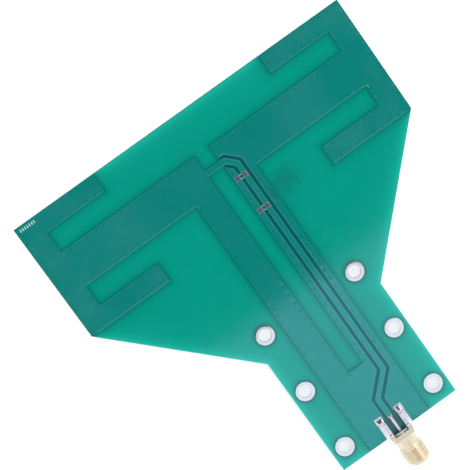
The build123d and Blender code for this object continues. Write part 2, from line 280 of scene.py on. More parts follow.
def mask_material():
    """Solder mask: its colour follows what lies under it, by the distances stored on the film."""
    material, tree, shader = new_material("solder_mask")
    place = millimetres(tree)
    x, y, z = axis_of(tree, place)
    copper = attribute(tree, "copper_mm")
    behind = attribute(tree, "behind_mm")
    edge = attribute(tree, "edge_mm")
    ring = attribute(tree, "ring_mm")
    pit = attribute(tree, "pit")
    clouds = ramp(tree, noise(tree, place, 0.06, 3.0, 0.55), 0.35, 0.65)
    mottle = ramp(tree, noise(tree, place, 0.45, 4.0, 0.65), 0.3, 0.7)
    streaks = ramp(tree, noise(tree, place, 0.16, 4.0, 0.7), 0.45, 0.75)
    bare = bare_tint(tree, copper, behind, edge, ring, clouds, streaks)
    cover = cover_tint(tree, copper, behind, x, y, clouds, mottle)
    colour = mix(tree, ramp(tree, copper, -0.05, 0.03), bare, cover)
    # Painted shade in the dimples over the vias
    colour = mix(tree, times(tree, pit, 0.4), colour, PIT_PAINTED_SHADE)
    # A soft darker patch on the mask
    colour = mix(tree, dark_patch_share(tree, x, y, mottle), colour, DARK_PATCH)
    # Painted shade round the pin, where the legs and flange shut out light
    colour = mix(tree, pin_shade_share(tree, x, y, z, mottle), colour, PIN_PAINTED_SHADE)
    feed(tree, shader.inputs["Base Color"], colour)
    feed(tree, shader.inputs["Metallic"], times(tree, ramp(tree, copper, -0.05, 0.1), 0.2))
    feed(tree, shader.inputs["Roughness"], maths(tree, "MULTIPLY_ADD", mottle, 0.03, 0.065))
    shader.inputs["IOR"].default_value = 1.55
    shader.inputs["Specular IOR Level"].default_value = 1.0
    shader.inputs["Specular Tint"].default_value = (0.457, 0.704, 0.994, 1.0)
    peel = noise(tree, place, 0.8, 2.0, 0.5)
    grain = noise(tree, place, 6.0, 2.0, 0.5)
    bump(tree, shader, plus(tree, peel, times(tree, grain, 0.06)), 0.2, 0.015)
    return material


def laminate_material():
    """Sawn glass-fibre edge: thin layers of weave in a greenish resin."""
    material, tree, shader = new_material("laminate")
    place = millimetres(tree)
    z = axis_of(tree, place)[2]
    waves = times(tree, noise(tree, place, 1.2, 2.0), 5.0)
    layers = maths(tree, "SINE", plus(tree, times(tree, z, 34.0), waves))
    layers = maths(tree, "MULTIPLY_ADD", layers, 0.5, 0.5)
    fibres = noise(tree, place, 9.0, 4.0, 0.7)
    colour = mix(tree, layers, (0.10, 0.15, 0.085), (0.27, 0.33, 0.19))
    colour = mix(tree, times(tree, fibres, 0.5), colour, (0.36, 0.40, 0.27))
    feed(tree, shader.inputs["Base Color"], colour)
    feed(tree, shader.inputs["Roughness"], maths(tree, "MULTIPLY_ADD", fibres, 0.3, 0.45))
    bump(tree, shader, fibres, 0.5, 0.04)
    return material


def metal_material(name, light, dark, roughness, spread, grain_scale, bump_mm):
    """Plated or soldered metal: two close tints, uneven roughness and a fine surface."""
    material, tree, shader = new_material(name)
    place = millimetres(tree)
    patches = noise(tree, place, 0.8, 3.0, 0.6)
    grain = noise(tree, place, grain_scale, 3.0, 0.6)
    feed(tree, shader.inputs["Base Color"], mix(tree, patches, dark, light))
    feed(tree, shader.inputs["Roughness"], maths(tree, "MULTIPLY_ADD", grain, spread, roughness))
    shader.inputs["Metallic"].default_value = 1.0
    bump(tree, shader, grain, 0.4, bump_mm)
    return material


def pad_material():
    """Tin on the component pads with a painted reflection: dark in the middle of each pad, paler
    round its edge.
    """
    material, tree, shader = new_material("pad_tin")
    place = millimetres(tree)
    x, y, _ = axis_of(tree, place)
    centres = np.array([np.mean(box_mm(node), axis=0) for node in PAD_NODES])
    middle = (centres.min(axis=0) + centres.max(axis=0)) / 2
    reach = (centres.max(axis=0) - centres.min(axis=0)) / 2

    def from_centre(axis, number):
        """Distance along one axis to the nearest pad's centre: the pads lie on a rectangle."""
        from_middle = maths(tree, "ABSOLUTE", maths(tree, "SUBTRACT", axis, middle[number]))
        return maths(tree, "SUBTRACT", from_middle, reach[number])

    across, along = from_centre(x, 0), from_centre(y, 1)
    radius = maths(tree, "SQRT", plus(tree, times(tree, across, across), times(tree, along, along)))
    patches = noise(tree, place, 0.8, 3.0, 0.6)
    grain = noise(tree, place, 3.0, 3.0, 0.6)
    painted_dark_middle = mix(tree, patches, (0.125, 0.145, 0.180), (0.185, 0.195, 0.230))
    lighter_tint = mix(tree, patches, (0.22, 0.31, 0.35), (0.29, 0.38, 0.42))
    # Painted reflection: dark over each pad's middle, with a painted highlight round its rim
    feed(tree, shader.inputs["Base Color"], mix(tree, ramp(tree, radius, 0.45, 0.85), painted_dark_middle, lighter_tint))
    feed(tree, shader.inputs["Roughness"], maths(tree, "MULTIPLY_ADD", grain, 0.1, 0.36))
    shader.inputs["Metallic"].default_value = 1.0
    bump(tree, shader, grain, 0.4, 0.01)
    return material


def legend_material():
    """Printed ink: two close tints and a fine surface."""
    material, tree, shader = new_material("legend_ink")
    grain = noise(tree, millimetres(tree), 9.0, 3.0, 0.6)
    colour = mix(tree, grain, (0.38, 0.62, 0.65), (0.50, 0.78, 0.81))
    feed(tree, shader.inputs["Base Color"], colour)
    feed(tree, shader.inputs["Roughness"], maths(tree, "MULTIPLY_ADD", grain, 0.15, 0.45))
    bump(tree, shader, grain, 0.3, 0.008)
    return material


def insulator_material():
    """White fluoropolymer, darker and greener on the lower part of its rear face."""
    material, tree, shader = new_material("insulator")
    place = millimetres(tree)
    _, y, z = axis_of(tree, place)
    grain = noise(tree, place, 5.0, 3.0, 0.6)
    above_axis = maths(tree, "SUBTRACT", z, AXIS_Z)
    # The lower part of the rear face turns dark green
    dark_lower_rear = times(tree, ramp(tree, above_axis, 1.05, 0.85), ramp(tree, y, -23.2, -22.9))
    lighter_tint = mix(tree, grain, (0.90, 0.90, 0.89), (0.97, 0.97, 0.96))
    feed(tree, shader.inputs["Base Color"], mix(tree, dark_lower_rear, lighter_tint, (0.03, 0.09, 0.08)))
    feed(tree, shader.inputs["Roughness"], maths(tree, "MULTIPLY_ADD", grain, 0.15, 0.4))
    bump(tree, shader, grain, 0.3, 0.01)
    return material


MASK = mask_material()
LAMINATE = laminate_material()
COPPER = metal_material(
    "copper", light=(0.78, 0.45, 0.32), dark=(0.62, 0.33, 0.22),
    roughness=0.32, spread=0.2, grain_scale=6.0, bump_mm=0.01,
)
TIN = metal_material(
    "tin", light=(0.95, 0.96, 0.97), dark=(0.89, 0.90, 0.92),
    roughness=0.05, spread=0.05, grain_scale=1.6, bump_mm=0.003,
)
PAD_TIN = pad_material()
SOLDER = metal_material(
    "solder", light=(0.91, 0.90, 0.94), dark=(0.81, 0.78, 0.85),
    roughness=0.16, spread=0.14, grain_scale=2.5, bump_mm=0.03,
)
GOLD = metal_material(
    "gold_plating", light=(0.93, 0.82, 0.64), dark=(0.83, 0.72, 0.53),
    roughness=0.24, spread=0.12, grain_scale=5.0, bump_mm=0.01,
)
CONTACT_GOLD = metal_material(
    "contact_gold", light=(0.86, 0.70, 0.40), dark=(0.78, 0.61, 0.33),
    roughness=0.18, spread=0.1, grain_scale=8.0, bump_mm=0.005,
)
INSULATOR = insulator_material()
LEGEND = legend_material()


# -------- mesh helpers
def link_mesh(name, vertices, faces, material, smooth_angle=30.0, recalc=True):
    """A new object from millimetre coordinates, shaded smooth up to an angle."""
    mesh = bpy.data.meshes.new(name)
    mesh.from_pydata([tuple(v) for v in np.asarray(vertices, dtype=float) * MM], [], faces)
    mesh.validate()
    if recalc:
        work = bmesh.new()
        work.from_mesh(mesh)
        bmesh.ops.recalc_face_normals(work, faces=work.faces)
        work.to_mesh(mesh)
        work.free()
    mesh.shade_smooth()
    mesh.set_sharp_from_angle(angle=math.radians(smooth_angle))
    mesh.materials.append(material)
    piece = bpy.data.objects.new(name, mesh)
    bpy.context.collection.objects.link(piece)
    return piece


def join_parts(parts):
    """Adds up several (vertices, faces) pairs."""
    vertices = []
    faces = []
    for more_vertices, more_faces in parts:
        start = len(vertices)
        vertices.extend(more_vertices)
        faces.extend([tuple(i + start for i in face) for face in more_faces])
    return vertices, faces


FLAT_TOLERANCE = 0.002
KEYS_PER_MM = 2000
STRAIGHT = 1e-4


def flat_loops(node, height):
    """Outlines, in mm, of a CAD node's flat face at a height, with the solid on their left."""
    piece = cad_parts[node]
    mesh = piece.data
    places = {}
    sides = {}
    for polygon in mesh.polygons:
        points = [piece.matrix_world @ mesh.vertices[i].co / MM for i in polygon.vertices]
        if max(abs(p.z - height) for p in points) > FLAT_TOLERANCE:
            continue
        keys = []
        for p in points:
            key = (round(p.x * KEYS_PER_MM), round(p.y * KEYS_PER_MM))
            places[key] = (p.x, p.y)
            keys.append(key)
        area = sum(
            places[a][0] * places[b][1] - places[b][0] * places[a][1]
            for a, b in zip(keys, keys[1:] + keys[:1])
        )
        if area < 0:
            keys = keys[::-1]
        for a, b in zip(keys, keys[1:] + keys[:1]):
            sides[(a, b)] = True
    follow = {a: b for a, b in sides if (b, a) not in sides and a != b}
    loops = []
    while follow:
        start, step = next(iter(follow.items()))
        loop = [start]
        del follow[start]
        while step != start and step in follow:
            loop.append(step)
            step = follow.pop(step)
        loops.append(straighten(np.array([places[k] for k in loop])))
    return loops


def straighten(loop):
    """Drops the points that lie on a straight run."""
    before = loop - np.roll(loop, 1, axis=0)
    after = np.roll(loop, -1, axis=0) - loop
    turn = before[:, 0] * after[:, 1] - before[:, 1] * after[:, 0]
    size = np.linalg.norm(before, axis=1) * np.linalg.norm(after, axis=1)
    return loop[np.abs(turn) > STRAIGHT * size]


def offset_loop(loop, distance):
    """The loop moved to its right by a distance, with mitred corners."""
    along = np.roll(loop, -1, axis=0) - loop
    along /= np.linalg.norm(along, axis=1)[:, None]
    outward = np.stack([along[:, 1], -along[:, 0]], axis=1)
    previous = np.roll(outward, 1, axis=0)
    total = previous + outward
    return loop + distance * total / (1.0 + (previous * outward).sum(axis=1))[:, None]


def refine(loop, step=2.4, near=0.3):
    """Adds points along the straight runs, so that shading follows each edge up to its corners."""
    points = []
    for start, end in zip(loop, np.roll(loop, -1, axis=0)):
        points.append(start)
        length = np.linalg.norm(end - start)
        if length > 3 * near:
            stops = np.linspace(near, length - near, max(2, math.ceil(length / step)))
            points.extend(start + (end - start) * stop / length for stop in stops)
    return np.array(points)


def loop_area(loop):
    """Area of a loop, negative where it runs clockwise."""
    x, y = loop[:, 0], loop[:, 1]
    return 0.5 * float(np.sum(x * np.roll(y, -1) - np.roll(x, -1) * y))


def segments(loops):
    """Starts and ends of all the loops' sides."""
    starts = np.concatenate(loops)
    ends = np.concatenate([np.roll(loop, -1, axis=0) for loop in loops])
    return starts, ends


def distance_to(points, loops):
    """Shortest distance from each point to any of the outlines."""
    starts, ends = segments(loops)
    along = ends - starts
    length = (along ** 2).sum(axis=1)
    best = np.full(len(points), np.inf)
    for start, direction, size in zip(starts, along, length):
        offset = points - start
        t = np.clip((offset @ direction) / size, 0.0, 1.0)
        best = np.minimum(best, ((offset - t[:, None] * direction) ** 2).sum(axis=1))
    return np.sqrt(best)


def inside(points, loops):
    """Even-odd test of each point against the outlines."""
    starts, ends = segments(loops)
    result = np.zeros(len(points), dtype=bool)
    for (x0, y0), (x1, y1) in zip(starts, ends):
        if y0 == y1:
            continue
        crosses = (y0 > points[:, 1]) != (y1 > points[:, 1])
        at = x0 + (points[:, 1] - y0) * (x1 - x0) / (y1 - y0)
        result ^= crosses & (points[:, 0] < at)
    return result


def signed(points, loops):
    """Distance to the outlines, positive on the copper."""
    return np.where(inside(points, loops), 1.0, -1.0) * distance_to(points, loops)


def circle(centre, radius, count, turn=0.0):
    angles = np.linspace(0.0, 2 * np.pi, count, endpoint=False) + turn
    x = centre[0] + radius * np.cos(angles)
    y = centre[1] + radius * np.sin(angles)
    return np.stack([x, y], axis=1)


def rectangle(low, high):
    x0, y0 = low
    x1, y1 = high
    return np.array([(x0, y0), (x1, y0), (x1, y1), (x0, y1)])


def smooth_step(value, low, high):
    t = np.clip((value - low) / (high - low), 0.0, 1.0)
    return t * t * (3.0 - 2.0 * t)


# -------- the board's plan, read from the solids
VIA_HOLE_AREA = 1.0
VIA_PITCH = 2.54
VIA_INSET = 0.6
VIA_SPACING = 0.9
FRONT_EDGE_CLEARANCE = 0.35
LONG_EDGE = 4.0

laminate_low, laminate_high = box_mm("laminate")
laminate_loops = flat_loops("laminate", laminate_high[2])
laminate_loops.sort(key=lambda loop: -abs(loop_area(loop)))
outline = laminate_loops[0]
via_places = [loop.mean(axis=0) for loop in laminate_loops if abs(loop_area(loop)) < VIA_HOLE_AREA]
front_copper = []
for half in ("front_copper_left", "front_copper_right"):
    front_copper += flat_loops(half, box_mm(half)[1][2])
back_copper = flat_loops("back_copper", box_mm("back_copper")[0][2])
hole_places = []
for node in HOLE_NODES:
    low, high = box_mm(node)
    hole_places.append(((low + high)[:2] / 2, (high - low)[0] / 2))


def add_arm_vias():
    """Rows of vias inside every long copper edge that has none yet."""
    for loop in back_copper:
        for start, end in zip(loop, np.roll(loop, -1, axis=0)):
            along = end - start
            length = np.linalg.norm(along)
            if length < LONG_EDGE:
                continue
            along /= length
            inward = np.array([-along[1], along[0]])
            axis = 0 if abs(along[0]) > 0.5 else 1
            zero = 0.0 if axis == 0 else outline[:, 1].min()
            low, high = sorted((start[axis], end[axis]))
            first = math.ceil((low + VIA_INSET - zero) / VIA_PITCH)
            last = math.floor((high - VIA_INSET - zero) / VIA_PITCH)
            for number in range(first, last + 1):
                place = start + inward * VIA_INSET
                place[axis] = zero + number * VIA_PITCH
                nearest_via = np.linalg.norm(np.array(via_places) - place, axis=1).min()
                front_edge = distance_to(place[None], front_copper)[0]
                if nearest_via > VIA_SPACING and front_edge > FRONT_EDGE_CLEARANCE:
                    via_places.append(place)


add_arm_vias()


# -------- solder mask films
FILM = 0.02
FILM_LIFT = 0.002
COPPER_THICKNESS = 0.035
SLOPE_OUT = 0.17
SLOPE_IN = 0.17
SLOPE_LINES = (SLOPE_OUT + 0.05, SLOPE_OUT, 0.085, 0.0, -0.085, -SLOPE_IN, -SLOPE_IN - 0.06, -0.45)
LEVEL_EDGE = 0.5
DIMPLE_LONG = 0.6
DIMPLE_WIDE = 0.26
DIMPLE_DEPTH = 0.009
DIMPLE_RINGS = ((0.3, 8), (0.62, 11), (1.0, 13))
WINDOW_CLEARANCE = 0.01
HOLE_RINGS = (0.25, 0.55, 1.0, 1.6)
HOLE_KEEP_CLEAR = 1.7
GRID_STEP = 1.15
GRID_SHAKE = 0.06
KEEP_CLEAR = 0.4
SLIVER = 1e-9


def row_directions(vias, loops):
    """For each via, (1, 0) where its row runs along x and (0, 1) where it runs along y."""
    nudge = 0.05
    across, along = (
        np.abs(distance_to(vias + step, loops) - distance_to(vias - step, loops))
        for step in np.array([(nudge, 0.0), (0.0, nudge)])
    )
    return np.where((across > along)[:, None], (0.0, 1.0), (1.0, 0.0))


def dimple_size(rows, along, across):
    """Half sizes in x and y of each via's ellipse, from those along and across its row."""
    return along * rows + across * (1 - rows)


def dimple_gap(points, vias, size):
    """Distance from each point to the nearest via's centre, in half sizes of its ellipse."""
    return np.sqrt((((points[:, None, :] - vias[None]) / size[None]) ** 2).sum(axis=2).min(axis=1))


def grid_points(copper_loops, windows, vias, rows):
    """Points in staggered, slightly shaken rows that keep clear of the lines and the dots."""
    (x_low, y_low), (x_high, y_high) = outline.min(axis=0), outline.max(axis=0)
    grid = []
    for number, y in enumerate(np.arange(y_low, y_high, GRID_STEP * 0.87)):
        shift = (number % 2) * GRID_STEP / 2
        grid.extend((x, y) for x in np.arange(x_low + shift, x_high, GRID_STEP))
    grid = np.array(grid)
    grid = grid + rng.uniform(-GRID_SHAKE, GRID_SHAKE, grid.shape)
    clear = inside(grid, [outline]) & (dimple_gap(grid, vias, dimple_size(rows, 1.0, 0.6)) > 1.0)
    for lines in ([outline], copper_loops, windows):
        clear &= distance_to(grid, lines) > KEEP_CLEAR
    for centre, radius in hole_places:
        clear &= np.linalg.norm(grid - centre, axis=1) > radius + HOLE_KEEP_CLEAR
    return grid[clear]


def film_plan(copper_loops, windows, vias, rows):
    """Points and triangles of a film in plan, with lines along the slopes at the copper's edges."""
    points = []
    links = []

    def add_loop(loop):
        start = len(points)
        points.extend(loop)
        links.extend((start + i, start + (i + 1) % len(loop)) for i in range(len(loop)))

    add_loop(outline)
    for loop in copper_loops:
        for distance in SLOPE_LINES:
            add_loop(refine(offset_loop(loop, distance)))
    for window in windows:
        add_loop(window)
    for centre, radius in hole_places:
        for extra in HOLE_RINGS:
            points.extend(circle(centre, radius + WINDOW_CLEARANCE + extra, 44, extra))
    for centre, size in zip(vias, dimple_size(rows, DIMPLE_LONG, DIMPLE_WIDE)):
        points.append(centre)
        for part, count in DIMPLE_RINGS:
            points.extend(centre + circle((0.0, 0.0), part, count, 0.3) * size)
    points.extend(grid_points(copper_loops, windows, vias, rows))

    places = [Vector((float(x), float(y))) for x, y in points]
    found = delaunay_2d_cdt(places, links, [], 0, 1e-5, False)
    plan = np.array([(v.x, v.y) for v in found[0]])
    triangles = np.array([face for face in found[2] if len(face) == 3])
    centres = plan[triangles].mean(axis=1)
    keep = inside(centres, [outline])
    for window in windows:
        keep &= ~inside(centres, [window])
    a, b, c = (plan[triangles[:, i]] for i in range(3))
    area = (b[:, 0] - a[:, 0]) * (c[:, 1] - a[:, 1]) - (b[:, 1] - a[:, 1]) * (c[:, 0] - a[:, 0])
    keep &= np.abs(area) > SLIVER
    triangles = triangles[keep]
    flip = area[keep] < 0
    triangles[flip] = triangles[flip][:, ::-1]
    used, triangles = np.unique(triangles, return_inverse=True)
    return plan[used], triangles.reshape(-1, 3)


def film_faces(triangles, count, side):
    """A film's outer skin, its inner one count vertices further on, and the walls at its rims."""
    if side < 0:
        triangles = triangles[:, ::-1]
    outer = [tuple(int(i) for i in face) for face in triangles]
    inner = [tuple(i + count for i in face[::-1]) for face in outer]
    edges = dict.fromkeys((face[i], face[(i + 1) % 3]) for face in outer for i in range(3))
    walls = [(j, i, i + count, j + count) for i, j in edges if (j, i) not in edges]
    return outer + inner + walls


def mask_film(name, node, copper_loops, other_loops, side, windows):
    """A closed film that steps up over the copper's edges and dips over the vias."""
    vias = np.array(via_places)
    rows = row_directions(vias, copper_loops)
    plan, triangles = film_plan(copper_loops, windows, vias, rows)

    # Distances, which also go to the material
    copper_mm = signed(plan, copper_loops)
    behind_mm = signed(plan, other_loops)
    edge_mm = distance_to(plan, [outline])
    ring_mm = np.min([
        np.abs(np.linalg.norm(plan - centre, axis=1) - radius) for centre, radius in hole_places
    ], axis=0)
    via_gap = dimple_gap(plan, vias, dimple_size(rows, DIMPLE_LONG, DIMPLE_WIDE))
    pit = 1.0 - smooth_step(via_gap, 0.2, 1.0)

    # Heights: bare face, step over the copper (none beside the board's edge), dips at the vias
    bare = (laminate_high if side > 0 else laminate_low)[2]
    near_edge = np.maximum(LEVEL_EDGE - edge_mm, 0.0)
    rise = smooth_step(copper_mm + near_edge, -SLOPE_OUT, SLOPE_IN)
    outer = bare + side * FILM + side * COPPER_THICKNESS * rise - side * DIMPLE_DEPTH * pit
    inner = outer - side * (FILM - FILM_LIFT)
    vertices = np.concatenate([np.column_stack([plan, outer]), np.column_stack([plan, inner])])
    faces = film_faces(triangles, len(plan), side)
    piece = link_mesh(name, vertices, faces, MASK, 40.0, recalc=False)
    for label, values in (
        ("copper_mm", np.clip(copper_mm, -6, 6)),
        ("behind_mm", np.clip(behind_mm, -6, 6)),
        ("edge_mm", np.clip(edge_mm, 0, 20)),
        ("ring_mm", np.clip(ring_mm, 0, 6)),
        ("pit", pit),
    ):
        layer = piece.data.attributes.new(label, "FLOAT", "POINT")
        layer.data.foreach_set("value", np.concatenate([values, values]).astype(np.float32))
    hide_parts(node)
    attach(piece, "root")


def ring_windows():
    return [circle(centre, radius + WINDOW_CLEARANCE, 64) for centre, radius in hole_places]


def pad_window(node, to_edge):
    low, high = box_mm(node)
    if to_edge:
        low[1] = outline[:, 1].min()
    return rectangle(low[:2], high[:2])


front_joints = ("front_left_leg_solder", "front_right_leg_solder", "centre_pin_solder")
back_joints = ("back_left_leg_solder", "back_right_leg_solder")
front_windows = ring_windows() + [pad_window(node, True) for node in front_joints]
front_windows += [pad_window(node, False) for node in PAD_NODES]
back_windows = ring_windows() + [pad_window(node, True) for node in back_joints]
mask_film("front_mask_film", "front_solder_mask", front_copper, back_copper, 1, front_windows)
mask_film("back_mask_film", "back_solder_mask", back_copper, front_copper, -1, back_windows)


# -------- turned pieces
HOLE_BORE = 1.55
HOLE_WALL = 1.585
RING_RIM = 0.018
RING_STEPS = (0.01, 0.03, 0.06, 0.12, 0.3, 0.5, 0.7, 0.9, 0.96, 0.985)


def turned(rows):
    """Vertices and faces of a closed skin from rows of points; each row goes once round."""
    count = len(rows[0])
    vertices = [p for row in rows for p in row]
    faces = []
    for i in range(len(rows)):
        a = i * count
        b = ((i + 1) % len(rows)) * count
        for j in range(count):
            k = (j + 1) % count
            faces.append((a + j, a + k, b + k, b + j))
    return vertices, faces


def tin_ring(node, number):
    """Plated hole with a ring on each face: hot-dipped tin, rounded and a little uneven."""
    low, high = box_mm(node)
    centre = (low + high) / 2
    outer = (high[0] - low[0]) / 2
    top, bottom = high[2], low[2]
    front_seat, back_seat = laminate_high[2], laminate_low[2]
    angles = np.linspace(0, 2 * np.pi, 72, endpoint=False)
    crown = 0.5 + 0.5 * np.sin(angles * 2 + number) * np.sin(angles * 3 + 2.3 * number)
    swell = 0.002 + 0.002 * crown

    def face(sign, level, seat):
        """Radius, height and share of the swell, from the outer edge in towards the bore."""
        rows = [(outer, seat, 0.0), (outer, seat + sign * RING_RIM, 0.0)]
        for t in RING_STEPS:
            height = 1.0 - abs(2 * t - 1) ** (14 if t < 0.5 else 40)
            radius = outer - t * (outer - HOLE_BORE)
            rows.append((radius, level - sign * RING_RIM * (1 - height), height))
        return rows

    profile = face(1, top, front_seat)
    profile += [(HOLE_BORE, top - 0.06, 0.0), (HOLE_BORE, bottom + 0.06, 0.0)]
    profile += [(r, z, -h) for r, z, h in reversed(face(-1, bottom, back_seat))]
    profile += [(HOLE_WALL, back_seat, 0.0), (HOLE_WALL, front_seat, 0.0)]
    rows = []
    for radius, z, lift in profile:
        x = centre[0] + radius * np.cos(angles)
        y = centre[1] + radius * np.sin(angles)
        rows.append(np.column_stack([x, y, z + swell * lift]))
    vertices, faces = turned(rows)
    piece = link_mesh("tin_" + node, vertices, faces, TIN, 50.0)
    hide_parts(node)
    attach(piece, "root")


for number, node in enumerate(HOLE_NODES):
    tin_ring(node, number)


# -------- solder and tinned pads
def patch(low, high, across, along, height, base, side):
    """A closed lump over a rectangle: height(x, y) above its flat underside."""
    xs = low[0] + (high[0] - low[0]) * (0.5 - 0.5 * np.cos(np.linspace(0, np.pi, across)))
    ys = low[1] + (high[1] - low[1]) * (0.5 - 0.5 * np.cos(np.linspace(0, np.pi, along)))
    gx, gy = np.meshgrid(xs, ys)
    gz = base + side * height(gx, gy)
    upper = np.stack([gx, gy, gz], axis=2).reshape(-1, 3)
    lower = np.stack([gx, gy, np.full_like(gx, base)], axis=2).reshape(-1, 3)
    count = len(upper)
    faces = []
    for j in range(along - 1):
        for i in range(across - 1):
            a = j * across + i
            quad = (a, a + 1, a + across + 1, a + across)
            faces.append(quad)
            faces.append(tuple(k + count for k in quad[::-1]))
    rim = list(range(across))
    rim += [j * across + across - 1 for j in range(1, along)]
    rim += [(along - 1) * across + i for i in range(across - 2, -1, -1)]
    rim += [j * across for j in range(along - 2, 0, -1)]
    for a, b in zip(rim, rim[1:] + rim[:1]):
        faces.append((b, a, a + count, b + count))
    return np.concatenate([upper, lower]), faces


def rim_gap(x, y, low, high):
    """Distance inside a rectangle's rim."""
    return np.minimum(np.minimum(x - low[0], high[0] - x), np.minimum(y - low[1], high[1] - y))


def falloff(value, reach, power=1):
    """1 where value is 0, falling to 1 / e at the reach."""
    return np.exp(-(value / reach) ** power)


def positive(value):
    """The value where it is above 0, otherwise 0."""
    return np.maximum(value, 0.0)


FLANGE_FACE = outline[:, 1].min()
SOLDER_START = FLANGE_FACE + 0.01
RIM_REACH = 0.05
LEG_WIDTH = 1.1
LEG_HEIGHT = 1.0
LEG_COAT = 0.07
leg_end = body_high[1]
leg_outer = body_high[0]
leg_inner = leg_outer - LEG_WIDTH
# Run-out of the solder past each leg's end: reach, half width, middle in x and slope
LEG_RUN_OUT = {-1: (1.35, 0.78, 3.0, 0.21), 1: (1.55, 0.58, 2.88, 0.24)}
# How far the solder climbs the flange beside the legs; at the back it must stay within the flange
LEG_CLIMB = {1: 0.9, -1: 0.1}
PIN_RADIUS = 0.32
PIN_COAT = 0.07
PIN_COVER = PIN_RADIUS + 0.19
pin_end = box_mm("connector_contact")[1][1]


def leg_solder(node, side, hand):
    """Solder that wets a leg all over and fills the corner between it and its pad."""
    low, high = box_mm(node)
    base = low[2] if side > 0 else high[2]
    low[1] = SOLDER_START
    leg_left, leg_right = sorted((hand * leg_inner, hand * leg_outer))
    reach, width, middle, run_out_slope = LEG_RUN_OUT[hand]

    def height(x, y):
        across = hand * x
        beside = positive(across - leg_outer)
        beyond = positive(y - leg_end)
        rim = np.minimum(np.minimum(x - low[0], high[0] - x), high[1] - y)
        cone = positive(1.0 - beside / 0.98) ** 1.12
        run_out = run_out_slope * positive(reach - beyond) * falloff(across - middle, width, 8)
        slope = np.where(beyond > 0, 0.60 * falloff(beyond, 0.07) + run_out, 0.97 * cone)
        fillet = slope * falloff(positive(leg_inner - across), 0.03)
        pad = 0.015 + (0.05 + fillet) * (1 - falloff(positive(rim), RIM_REACH))
        over = rim_gap(x, y, (leg_left, FLANGE_FACE - 0.2), (leg_right, leg_end))
        ripple = 0.012 * np.sin(2.1 * x + 1.3 * y * hand) + 0.010 * np.sin(2.9 * y + hand)
        crest = LEG_HEIGHT + LEG_COAT + ripple - 0.04 * falloff(positive(over), 0.12)
        climb = falloff(y - low[1], 0.16) * smooth_step(across, leg_outer + 0.1, leg_outer - 0.1)
        return np.where(over > -0.03, np.maximum(pad, crest), pad) + climb * LEG_CLIMB[side]

    vertices, faces = patch(low, high, 44, 90, height, base, side)
    piece = link_mesh("lump_" + node, vertices, faces, SOLDER, 75.0)
    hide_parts(node)
    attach(piece, "root")


for face_name, side in (("front", 1), ("back", -1)):
    for hand_name, hand in (("left", -1), ("right", 1)):
        leg_solder(f"{face_name}_{hand_name}_leg_solder", side, hand)


def pin_solder():
    """Solder along the pin, with a forked end where it runs out on the pad."""
    low, high = box_mm("centre_pin_solder")
    low[1] = SOLDER_START
    pin_axis = AXIS_Z - low[2]

    def height(x, y):
        off_axis = np.abs(x)
        beyond = positive(y - pin_end)
        rim = np.minimum(np.minimum(x - low[0], high[0] - x), 2.0 * (high[1] - y))
        swell = 0.012 * falloff(y - pin_end + 0.62, 0.30, 2)
        hump = positive(1.0 - np.abs(x / PIN_COVER) ** 4)
        ridge = pin_axis + (PIN_RADIUS + PIN_COAT) * hump + swell
        fillet = 0.54 * falloff(positive(off_axis - 0.34), 0.12)
        along_pin = np.where(off_axis < PIN_COVER * 0.95, np.maximum(ridge, fillet), fillet)
        dip = 0.20 * positive(high[1] - pin_end - beyond) * falloff(x, 0.40, 8)
        run_out = 0.01 + 0.45 * falloff(beyond, 0.045) * falloff(x, 0.34, 4) + dip
        spread = 0.28 + 0.18 * np.clip(beyond / 0.6, 0.0, 1.0)
        fork = 0.26 * falloff(off_axis - spread, 0.07, 2) * smooth_step(beyond, 0.85, 0.6)
        solder = np.where(beyond > 0, np.minimum(along_pin, run_out + fork), along_pin)
        return 0.02 + solder * (1 - falloff(positive(rim), RIM_REACH))

    vertices, faces = patch(low, high, 40, 90, height, low[2], 1)
    piece = link_mesh("lump_centre_pin_solder", vertices, faces, SOLDER, 75.0)
    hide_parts("centre_pin_solder")
    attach(piece, "root")


pin_solder()


def tinned_pad(node, number):
    """A bare pad under a low cushion of tin."""
    low, high = box_mm(node)
    centre = (low + high) / 2
    half = (high - low)[0] / 2
    rise = high[2] - low[2] - 0.02

    def height(x, y):
        dx, dy = x - centre[0], y - centre[1]
        u = np.clip(np.abs(dx) / half, 0, 1)
        v = np.clip(np.abs(dy) / half, 0, 1)
        dome = (1 - u ** 9) * (1 - v ** 9)
        lean = 1.0 + 0.03 * np.sin(1.6 * dx + number) + 0.03 * np.sin(1.9 * dy)
        return 0.012 + rise * positive(dome) ** 0.5 * lean

    vertices, faces = patch(low, high, 24, 24, height, low[2], 1)
    piece = link_mesh("tin_" + node, vertices, faces, PAD_TIN, 75.0)
    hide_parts(node)
    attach(piece, "root")


for number, node in enumerate(PAD_NODES):
    tinned_pad(node, number)


# -------- jack body
THREAD_PITCH = 0.7056
THREAD_DEPTH = 0.31
STEPS_PER_PITCH = 18
RUN_IN = 0.9
TIP_RADIUS = 2.75
TIP_LENGTH = 0.6
TIP_TAPER = 0.35
FLANGE_THICKNESS = 1.3
FLANGE_CORNER = 0.4
NECK_RADIUS = 2.65
NECK_LENGTH = 2.6
NECK_STEP = 0.02
REACH = 9.4
BORE_RADIUS = 2.3
SOCKET_DEPTH = 1.9
SLEEVE_BORE = 2.06
REAR_RECESS_RADIUS = 2.3
REAR_RECESS_DEPTH = 0.35
EDGE = 0.07
LEG_EDGE = 0.05


